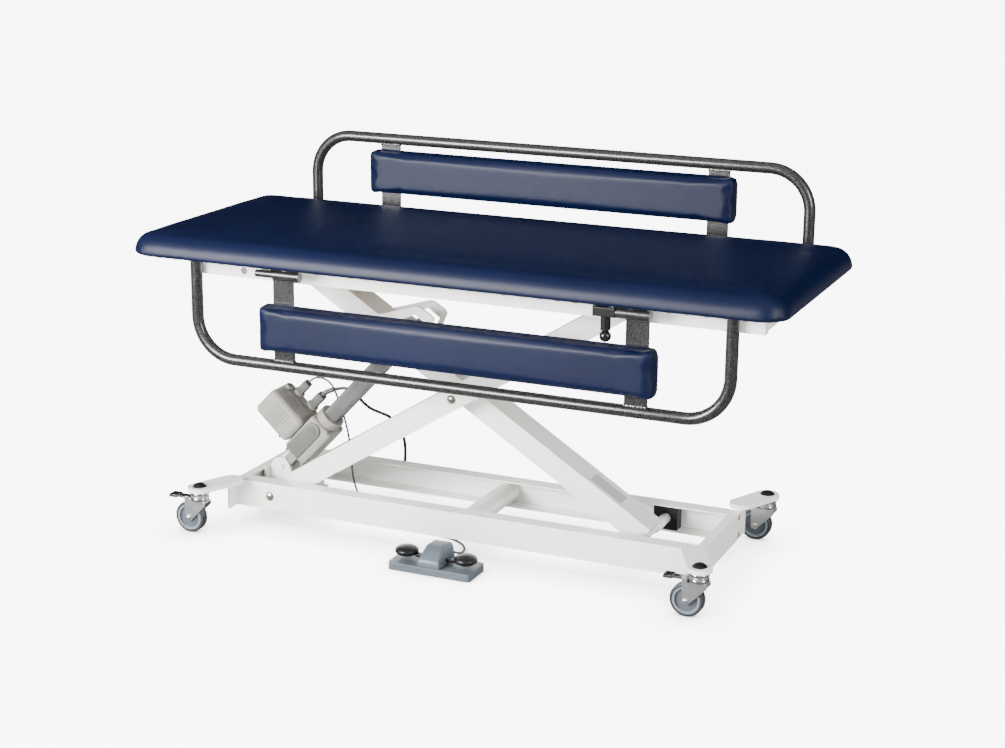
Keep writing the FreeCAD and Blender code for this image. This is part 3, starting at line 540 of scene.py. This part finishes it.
# ---------------------------------------------------------------- cords
SWITCH_CABLE_D = 5.0 * MM
MAINS_D = 7.5 * MM
SWITCH_CABLE_ROUTE = [
    (-475.1, 33, 305.6), (-464, 33.4, 317.4), (-445.6, 32, 322.8), (-426.1, 29.5, 320.8),
    (-411.5, 28, 312.8), (-401.2, 28, 297.3), (-393.2, 29, 276.9), (-382.3, 31, 245.1), (-372, 32, 208),
    (-364, 32.5, 165), (-360, 31.5, 122), (-354, 27, 82), (-338, 20, 48), (-312, 12, 22), (-278, 3, 6.5),
    (-236, -9, 2.6), (-190, -24, 2.6), (-143, -35, 2.6), (-96, -43, 2.6), (-54, -53, 2.6), (-20, -72, 2.6),
    (0, -100, 2.6), (8, -131, 4.5), (8, -159, 13), (4, -181, 26), (-1, -199, 32)]
MAINS_ROUTE = [
    (-413.4, 43.1, 293), (-396.4, 47, 297.8), (-378.9, 49.5, 299), (-362, 50.5, 292.4), (-348.2, 51, 279),
    (-335, 53, 265), (-322, 63, 251), (-306, 78, 240), (-292, 97, 228), (-281, 116, 208), (-274, 131, 181),
    (-272, 143, 150), (-276, 153, 119), (-283, 164, 90), (-289, 177, 62), (-295, 194, 37), (-300, 215, 17),
    (-304, 241, 6)]
COIL_CENTRE = (-250.0, 272.0)
COIL_OUTER_TURN = 54.2
COIL_PITCH = 7.8
COIL_LAYER_TURNS = 3
COIL_ODD_TURNS = 1.25
COIL_FLOOR_HEIGHT = 3.9
COIL_STEPS = 16
COIL_TAIL = [(-244.5, 326.2, 10.2), (-238.5, 326.2, 9.0)]


def coil_points():
    """Turns of the put-away lead: in along the floor, round once while rising a layer, and out on top."""
    points = []
    for i in range(int((2 * COIL_LAYER_TURNS + COIL_ODD_TURNS) * COIL_STEPS) + 1):
        turn = i / COIL_STEPS
        angle = math.pi - 2 * math.pi * turn
        inward = min(turn, COIL_LAYER_TURNS)
        outward = min(max(0.0, turn - COIL_LAYER_TURNS - 1), COIL_LAYER_TURNS)
        radius = COIL_OUTER_TURN - COIL_PITCH * (inward - outward)
        rise = min(1.0, max(0.0, (turn - COIL_LAYER_TURNS) * 2.0))
        points.append((COIL_CENTRE[0] + radius * math.cos(angle), COIL_CENTRE[1] + radius * math.sin(angle),
                       COIL_FLOOR_HEIGHT + COIL_PITCH * rise))
    return points


def cord_line(name, route):
    """Points along the smooth line that has the route as its control points."""
    curve = bpy.data.curves.new(name + "_line", "CURVE")
    curve.dimensions = "3D"
    spline = curve.splines.new("NURBS")
    spline.points.add(len(route) - 1)
    spots = np.array(route) * MM + ORIGIN_SHIFT
    spline.points.foreach_set("co", np.column_stack([spots, np.ones(len(spots))]).ravel())
    spline.order_u = 3
    spline.use_endpoint_u = True
    spline.resolution_u = 8
    line = bpy.data.objects.new(name + "_line", curve)
    bpy.context.scene.collection.objects.link(line)
    mesh = bpy.data.meshes.new_from_object(line)
    path = read_points(mesh)
    bpy.data.objects.remove(line)
    bpy.data.meshes.remove(mesh)
    return path[np.concatenate([[True], np.linalg.norm(np.diff(path, axis=0), axis=1) > 1e-6])]


def cord(name, route, diameter, surface, nodes, pieces):
    """A round cord from the actuator's body along the route, in place of the given parts, which it hides."""
    path = cord_line(name, route)
    points, faces = tube_along(path, diameter / 2, 12)
    obj = mesh_object(name, points, faces, surface)
    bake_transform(obj)
    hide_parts(*nodes)


PLUG_ACROSS = 326.2
PLUG_FACE = -215.0
BLADE_OFFSET = 5.2
BLADE_HALF = 0.8


def mains_plug():
    """A plain moulded plug with a tapered neck, two blades and an earth pin."""
    body = local_box("plug_body", np.array((-238.0, 317.0, 0.3)) * MM, np.array((-214.0, 335.4, 17.7)) * MM,
                     CABLE_BLACK, "base", 0.0035, start=ORIGIN_SHIFT)
    neck = turned_body("plug_neck", [(0.0042, 0.0), (0.0052, 0.004), (0.0066, 0.0085)],
                       place(-245.5, PLUG_ACROSS, 9.0), (1, 0, 0), CABLE_BLACK, "base")
    pieces = [body, neck]
    for name, y in (("live", PLUG_ACROSS - BLADE_OFFSET), ("neutral", PLUG_ACROSS + BLADE_OFFSET)):
        pieces.append(local_box("plug_blade_" + name, np.array((PLUG_FACE, y - BLADE_HALF, 8.6)) * MM,
                                np.array((-198.6, y + BLADE_HALF, 14.6)) * MM, STEEL, "base",
                                0.0004, start=ORIGIN_SHIFT))
    pin = [(0.0023, 0.0), (0.0023, 0.0150), (0.0012, 0.0165)]
    pieces.append(turned_body("plug_earth_pin", pin, place(PLUG_FACE, PLUG_ACROSS, 4.6), (1, 0, 0), STEEL,
                              "base", sides=16))
    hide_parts("mains_plug")
    return pieces


# ---------------------------------------------------------------- actuator details
RELIEF_ROUTE = [(-440.1, 37, 277.8), (-428.5, 39, 288), (-413.8, 43, 292.9)]
CONTROL_END = 137.0
RIDGE_PITCH = 7.0
RIDGE_WIDTH = 2.6


def on_actuator(name, low, high, surface, bevel=0.0):
    """A rounded box in millimetres along the actuator, across the table and above it."""
    return local_box(name, np.array(low) * MM, np.array(high) * MM, surface, "actuator_body",
                     bevel * MM, ACTUATOR_AXES, REAR_PIVOT)


def actuator_spots(mm):
    """Where spots in millimetres along the actuator, across the table and above it lie in the frame."""
    return REAR_PIVOT + np.array(mm) * MM @ ACTUATOR_AXES


def control_box_details():
    """Moulded ridges that wrap from the near face to the end face, plug bosses and a blank strip."""
    for i in range(7):
        low = 66.0 + RIDGE_PITCH * i
        high = low + RIDGE_WIDTH
        on_actuator(f"control_ridge_side_{i}", (72, -48.4, low), (126, -46.0, high), CONTROL,
                    1.0)
        on_actuator(f"control_ridge_end_{i}", (135.6, -40, low), (138.2, -4, high), CONTROL,
                    1.0)
    on_actuator("control_terminal_strip", (136.6, 1, 62), (137.7, 15, 120), STRIP, 0.3)
    for name, across, above, radius in (("switch", 33, 103.3, 14.5), ("mains", 37, 58.8, 15.5),
                                        ("blank", 15, 128, 9.5)):
        boss = [(radius * MM, 0.0), (radius * MM, 0.006), ((radius - 1.5) * MM, 0.0075)]
        turned_body("control_boss_" + name, boss, actuator_spots((CONTROL_END - 0.5, across, above)), ALONG,
                    CONTROL, "actuator_body")
    on_actuator("switch_plug_grip", (148, 23.2, 93.5), (168, 42.8, 113.1), GEAR, 2.5)
    on_actuator("mains_plug_grip", (150, 26.2, 48), (173, 47.8, 69.6), GEAR, 2.5)


def motor_details():
    """The gear cover on the near side with its round end and screw, and the housing's split line."""
    end_centre, end_height, end_radius = 141.0, 3.0, 20.0
    turn = np.linspace(0.2, math.pi - 0.2, 14)
    arc = np.column_stack([end_centre + end_radius * np.sin(turn), end_height - end_radius * np.cos(turn)])
    square_end = end_height + np.array([-end_radius, end_radius])
    outline = np.concatenate([[(57.0, square_end[0]), (end_centre, square_end[0])], arc,
                              [(end_centre, square_end[1]), (57.0, square_end[1])]])
    ends = [np.insert(outline, 1, across, axis=1) for across in (-42.0, -37.5)]
    cover = between("gear_cover", actuator_spots(ends), GEAR)
    round_edges(cover, 0.0012, 2)
    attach(cover, "actuator_body")
    screw = [(0.0085, 0.0), (0.0085, 0.0012), (0.0066, 0.0016), (0.0062, 0.0008), (0.0050, 0.0010),
             (0.0046, 0.0022)]
    turned_body("gear_cover_screw", screw, actuator_spots((end_centre, -42.0, end_height)), (0.0, -1.0, 0.0),
                GEAR, "actuator_body")
    on_actuator("housing_split", (49.8, -38.3, -27), (166.2, 38.3, -26), GEAR, 0.0)


def profile_grooves():
    """Fine grooves along the aluminium profile's four faces, drawn as thin strips in a darker copy of the
    aluminium: painted shade standing in for each groove's recess.
    """
    start, end, under_face, face, half_width = 188, 411, 18.6, 19.15, 0.6
    for i, offset in enumerate((-9.0, -3.0, 3.0, 9.0)):
        low, high = offset - half_width, offset + half_width
        for side, first, second in (("near", (-face, low), (-under_face, high)),
                                    ("far", (under_face, low), (face, high)),
                                    ("over", (low, under_face), (high, face)),
                                    ("under", (low, -face), (high, -under_face))):
            on_actuator(f"profile_groove_{side}_{i}", (start, *first), (end, *second), GROOVE_SHADE)


def ribbed_relief():
    """The bending relief at the mains inlet: a tube along the lead's first bend whose radius steps between
    wide and narrow every second ring and tapers towards the lead."""
    path = cord_line("relief", RELIEF_ROUTE)
    rings = np.arange(56)
    share = np.linspace(0, len(path) - 1, len(rings))
    fine = np.column_stack([np.interp(share, np.arange(len(path)), column) for column in path.T])
    lumps = np.where((rings // 2) % 2, 1.08, 0.93) * (1.0 - 0.18 * rings / len(rings))
    points, faces = tube_along(fine, 0.0062, 20, lumps)
    mesh_object("mains_relief_rings", points, faces, CABLE_GREY, "actuator_body")


# ---------------------------------------------------------------- welds, plugs, labels and staples
def bead(name, start, end, radius, body):
    """A weld bead between two points: a tube whose path and radius wander by slow and quick sine waves."""
    start, end = np.array(start), np.array(end)
    count = max(12, int(np.linalg.norm(end - start) / 0.0011))
    share = np.linspace(0.0, 1.0, count)
    wander = 0.0006 * np.sin(share * 37.0 + start[0] * 90.0)
    path = start + (end - start) * share[:, None] + np.array([0.0, 0.6, 1.0]) * wander[:, None]
    lumps = 1.0 + 0.16 * np.sin(share * count * 0.9) + 0.10 * np.sin(share * count * 0.37 + 1.0)
    points, faces = tube_along(path, radius, 10, lumps)
    mesh_object(name, points, faces, WELD, body)


NEAR_STRAPS = (-376.0, 453.0)
FAR_STRAPS = (-395.0, 440.5)
STRAP_HALF = 25.0
STRAP_FACE = 5.0
TUBE_RADIUS = 13.2
NEAR_RAIL_ACROSS = -248.5
FAR_RAIL_ACROSS = 321.5


def rail_welds():
    """Beads on both faces of each flat bar where it meets the long tube."""
    for side, straps, y, z in (("near", NEAR_STRAPS, NEAR_RAIL_ACROSS, 427.0 + TUBE_RADIUS),
                               ("far", FAR_STRAPS, FAR_RAIL_ACROSS, 860.0 - TUBE_RADIUS)):
        for end, x in zip(("left", "right"), straps):
            for face, across in (("front", y - STRAP_FACE), ("back", y + STRAP_FACE)):
                bead(f"{side}_{end}_tube_weld_{face}", place(x - STRAP_HALF, across, z),
                     place(x + STRAP_HALF, across, z), 0.0026, side + "_rail")


def tube_plugs():
    """Black plastic plugs in the open ends of the side rails' tubes."""
    profile = [(0.0133, 0.0), (0.0133, 0.0012), (0.0122, 0.0026), (0.0080, 0.0034)]
    for end, x in (("left", -600.0), ("right", 654.5)):
        turned_body(f"near_{end}_tube_plug", profile, place(x, NEAR_RAIL_ACROSS, 652.1), (0.0, 0.0, 1.0),
                    NYLON, "near_rail")
        turned_body(f"far_{end}_tube_plug", profile, place(x, FAR_RAIL_ACROSS, 634.9), (0.0, 0.0, -1.0),
                    NYLON, "far_rail")


def rating_label():
    """A blank label on the wide arm's upper face, near its lower end."""
    down = np.array([ARM_A_ALONG[0], 0.0, -ARM_A_ALONG[2]])
    over = np.array([ARM_A_ALONG[2], 0.0, ARM_A_ALONG[0]])
    axes = np.array([down, [0.0, 1.0, 0.0], over])
    local_box("rating_label", (0.352, -0.026, 0.02545), (0.440, 0.016, 0.02580), LABEL,
              "arm_b", 0.0, axes, CROSSING)


def lower_shaft_sleeve():
    """The painted tube over the wide arm's lower shaft, from the arm out to each slide block."""
    x, y, z = place(409, 0, 71.25)
    arm_half, bare_end, radius = 0.036, 0.024, 0.0122
    low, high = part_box("arm_b_lower_shaft")
    length = (high[1] - low[1]) / 2 - bare_end - arm_half
    for side, sign in (("near", -1), ("far", 1)):
        turned_body("lower_shaft_sleeve_" + side, [(radius, 0.0), (radius, length)],
                    (x, y + sign * arm_half, z), (0.0, sign, 0.0), PAINT, "arm_b")


SWITCH_SPOT = np.array([-6.0, -241.0])
HOOD_OUTLINE = np.array([(-43, 17.5, 28), (43, 17.5, 28), (43, 50, 22.5), (38, 57, 21), (-4, 60, 20),
                         (-10, 58, 20.5), (-40, 36, 25), (-43, 31, 26)])


def foot_switch_details():
    """The moulded hood with its sloping front, and the arms that carry the two domes. The hood's outline
    holds distance across the table, height and half width; a dome is part of a squashed sphere."""
    across, height, half = HOOD_OUTLINE.T
    ends = np.array([np.column_stack([SWITCH_SPOT[0] + sign * half, SWITCH_SPOT[1] + across, height])
                     for sign in (-1, 1)])
    hood = between("foot_switch_hood", ends * MM + ORIGIN_SHIFT, SWITCH)
    round_edges(hood, 0.004, 4)
    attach(hood, "base")
    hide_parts("foot_switch_housing")
    turns = np.linspace(0.35, math.pi - 0.06, 16)
    dome = np.column_stack([0.027 * np.sin(turns), 0.0125 * (math.cos(0.35) - np.cos(turns))])
    for sign, body, node in ((-1, "pedal_down", "foot_pedal_left"), (1, "pedal_up", "foot_pedal_right")):
        obj = turned_body("dome_" + body, dome, place(SWITCH_SPOT[0] + sign * 72, SWITCH_SPOT[1], 23.5),
                          (0, 0, 1), NYLON, body)
        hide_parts(node)
        inner, outer = sorted((SWITCH_SPOT[0] + sign * 20, SWITCH_SPOT[0] + sign * 50))
        local_box("pedal_arm_" + body, np.array((inner, -247.0, 24.5)) * MM,
                  np.array((outer, -235.0, 32.0)) * MM, NYLON, body, 0.0015,
                  start=ORIGIN_SHIFT)


def caster_details():
    """Bright swivel rings, and an axle nut on each side of every fork."""
    trail, fork_half, axle_height, upper_thinner = 24, 15, 37.5, 0.85
    ring = np.array([(0.0195, 0.0), (0.0216, 0.0012), (0.0222, 0.0045), (0.0216, 0.0078), (0.0195, 0.009)])
    nut = [(0.0062, 0.0), (0.0062, 0.0036), (0.0048, 0.0046)]
    for end, x in (("left", -607.0), ("right", 607.0)):
        for side, y in (("near", -255.0), ("far", 255.0)):
            body = f"caster_{side}_{end}"
            turned_body(f"swivel_ring_lower_{side}_{end}", ring, place(x, y, 80.5), (0, 0, 1), CHROME,
                        body)
            turned_body(f"swivel_ring_upper_{side}_{end}", ring * (1.0, upper_thinner), place(x, y, 94.0),
                        (0, 0, 1), CHROME, body)
            for face, sign in (("front", -1), ("back", 1)):
                turned_body(f"axle_nut_{side}_{end}_{face}", nut,
                            place(x - trail, y + sign * fork_half, axle_height), (0, sign, 0), ZINC,
                            body, sides=6)


def staples():
    """Staples that hold the vinyl to the underside all round, as one object: a small box at each spot."""
    pitch, from_edge, half_length, half_wire = 0.04, 0.012, 0.005, 0.0005
    middle = (PAD_LOW[:2] + PAD_HIGH[:2]) / 2
    edge = (PAD_HIGH[:2] - PAD_LOW[:2]) / 2 - from_edge
    along, across = np.arange(-0.68, 0.69, pitch), np.arange(-0.22, 0.23, pitch)
    spots = np.array([(x, sign * edge[1]) for sign in (-1, 1) for x in along]
                     + [(sign * edge[0], y) for sign in (-1, 1) for y in across])
    half = np.repeat([(half_length, half_wire), (half_wire, half_length)], [2 * len(along), 2 * len(across)],
                     axis=0)
    low = np.insert(middle + spots - half, 2, PAD_LOW[2] - 0.0006, axis=1)[:, None]
    high = np.insert(middle + spots + half, 2, PAD_LOW[2] + 0.0004, axis=1)[:, None]
    points = np.where(BOX_CORNERS, high, low).reshape(-1, 3)
    faces = (8 * np.arange(len(spots))[:, None, None] + BOX_FACES).reshape(-1, 4)
    mesh_object("cover_staples", points, faces.tolist(), STEEL, "top_frame", smooth=False)


# ---------------------------------------------------------------- studio
CAMERA_AZIMUTH = math.radians(23.31)
CAMERA_ELEVATION = math.radians(15.505)
CAMERA_ROLL = math.radians(0.598)
CAMERA_PLACE = (1.6951, -3.8707, 1.5623)
CAMERA_LENS = 68.77
BACKDROP_GLOW = 11.0
FLOOR_WASH = 0.72
FLOOR_REACH = 30


def camera():
    level = math.cos(CAMERA_ELEVATION)
    back = Vector((math.sin(CAMERA_AZIMUTH) * level, -math.cos(CAMERA_AZIMUTH) * level,
                   math.sin(CAMERA_ELEVATION)))
    right = Vector((math.cos(CAMERA_AZIMUTH), math.sin(CAMERA_AZIMUTH), 0.0))
    up = back.cross(right)
    across = right * math.cos(CAMERA_ROLL) + up * math.sin(CAMERA_ROLL)
    upright = up * math.cos(CAMERA_ROLL) - right * math.sin(CAMERA_ROLL)
    data = bpy.data.cameras.new("camera")
    data.lens = CAMERA_LENS
    data.sensor_width = 36.0
    obj = bpy.data.objects.new("camera", data)
    bpy.context.scene.collection.objects.link(obj)
    turned = Matrix((across, upright, back)).transposed().to_4x4()
    obj.matrix_world = Matrix.Translation(CAMERA_PLACE) @ turned
    bpy.context.scene.camera = obj


def area_light(name, spot, target, size, power, mirrored=True):
    data = bpy.data.lights.new(name, "AREA")
    data.shape = "RECTANGLE"
    data.size, data.size_y = size
    data.energy = power
    obj = bpy.data.objects.new(name, data)
    bpy.context.scene.collection.objects.link(obj)
    obj.location = spot
    obj.rotation_euler = (Vector(target) - Vector(spot)).to_track_quat("-Z", "Y").to_euler()
    obj.visible_glossy = mirrored


def studio_world():
    """White for the camera; bright above and in front for reflections; even and soft for all else."""
    world = bpy.data.worlds.new("studio")
    world.use_nodes = True
    graph = Graph(world.node_tree)
    split = graph.add("ShaderNodeSeparateXYZ", {0: graph.add("ShaderNodeTexCoord").outputs["Generated"]})
    height = graph.ramp(split.outputs[2], [(0.0, (0.25, 0.25, 0.25)), (0.3, (0.5, 0.5, 0.5)),
                                           (0.6, (1.0, 1.0, 1.0)), (1.0, (1.5, 1.5, 1.5))])
    front = graph.ramp(graph.maths("MULTIPLY_ADD", split.outputs[1], -0.5, 0.5),
                       [(0.10, (0.01, 0.01, 0.01)), (0.5, (0.5, 0.5, 0.5)), (0.9, (1.2, 1.2, 1.2))])
    white = (1.0, 1.0, 1.0, 1.0)
    mirrored = graph.add("ShaderNodeBackground", {0: graph.vector("MULTIPLY", height, front), 1: 0.9})
    even = world.node_tree.nodes["Background"]
    graph.put(even.inputs[0], white)
    graph.put(even.inputs[1], 0.85)
    backdrop = graph.add("ShaderNodeBackground", {0: white, 1: BACKDROP_GLOW})
    ray = graph.add("ShaderNodeLightPath").outputs
    lit = graph.mixed(ray["Is Glossy Ray"], even.outputs[0], mirrored.outputs[0])
    seen = graph.mixed(ray["Is Camera Ray"], lit, backdrop.outputs[0])
    graph.put(world.node_tree.nodes["World Output"].inputs[0], seen)
    bpy.context.scene.world = world


def floor_surface():
    """Pale floor that the camera sees washed out to the backdrop's white glow, which is darkened by ambient
    occlusion near things as painted contact shadow; the rest of what it sees is the floor's own lit shading
    with its real shadows. Reflections see it as a fixed dim glow.
    """
    made = material("studio_floor", "peel", 3.0, [(0.84, 0.84, 0.84), (0.86, 0.86, 0.86)], 0.6)
    graph = Graph(made.node_tree)
    # Painted shadow: the camera's white glow dims by ambient occlusion where the base, casters and cords
    # stand close over the floor.
    near = graph.add("ShaderNodeAmbientOcclusion", {"Distance": 0.12}, samples=6)
    painted_contact_shadow = graph.maths("POWER", near.outputs["AO"], 1.3)
    glow = graph.add("ShaderNodeEmission", {1: graph.maths("MULTIPLY", painted_contact_shadow, BACKDROP_GLOW)})
    ray = graph.add("ShaderNodeLightPath").outputs
    share = graph.maths("MULTIPLY", ray["Is Camera Ray"], FLOOR_WASH)
    shader = made.node_tree.nodes["Principled BSDF"]
    chosen = graph.mixed(share, shader.outputs[0], glow.outputs[0])
    dim = graph.add("ShaderNodeEmission", {1: 0.30})
    seen = graph.mixed(ray["Is Glossy Ray"], chosen, dim.outputs[0])
    graph.put(made.node_tree.nodes["Material Output"].inputs[0], seen)
    return made


def studio():
    corners = [(-FLOOR_REACH, -FLOOR_REACH, 0), (FLOOR_REACH, -FLOOR_REACH, 0), (FLOOR_REACH, FLOOR_REACH, 0),
               (-FLOOR_REACH, FLOOR_REACH, 0)]
    floor = mesh_object("floor", corners, [(0, 1, 2, 3)], floor_surface(), None, smooth=False)
    studio_world()
    area_light("key", (-1.7, -3.2, 1.45), (0.0, 0.0, 0.55), (2.0, 1.4), 470)
    area_light("top", (0.2, 0.3, 3.8), (0.0, 0.0, 0.6), (2.6, 1.2), 60, mirrored=False)
    area_light("right", (3.6, -1.4, 1.6), (0.2, 0.0, 0.4), (1.2, 1.8), 120)
    area_light("behind", (-0.6, 3.6, 1.6), (0.0, 0.2, 0.5), (2.0, 1.2), 90, mirrored=False)


cord("switch_cord", SWITCH_CABLE_ROUTE, SWITCH_CABLE_D, CABLE_GREY, ["foot_switch_cable"],
     [])
cord("mains_cord", MAINS_ROUTE + coil_points() + COIL_TAIL, MAINS_D, CABLE_BLACK,
     ["mains_lead", "mains_coil"], mains_plug())
mattress()
bolster("near_bolster_cover", "near_bolster_pad", "near_rail")
bolster("far_bolster_cover", "far_bolster_pad", "far_rail")

control_box_details()
motor_details()
profile_grooves()
ribbed_relief()
rail_welds()
tube_plugs()
rating_label()
lower_shaft_sleeve()
foot_switch_details()
caster_details()
staples()

camera()
studio()
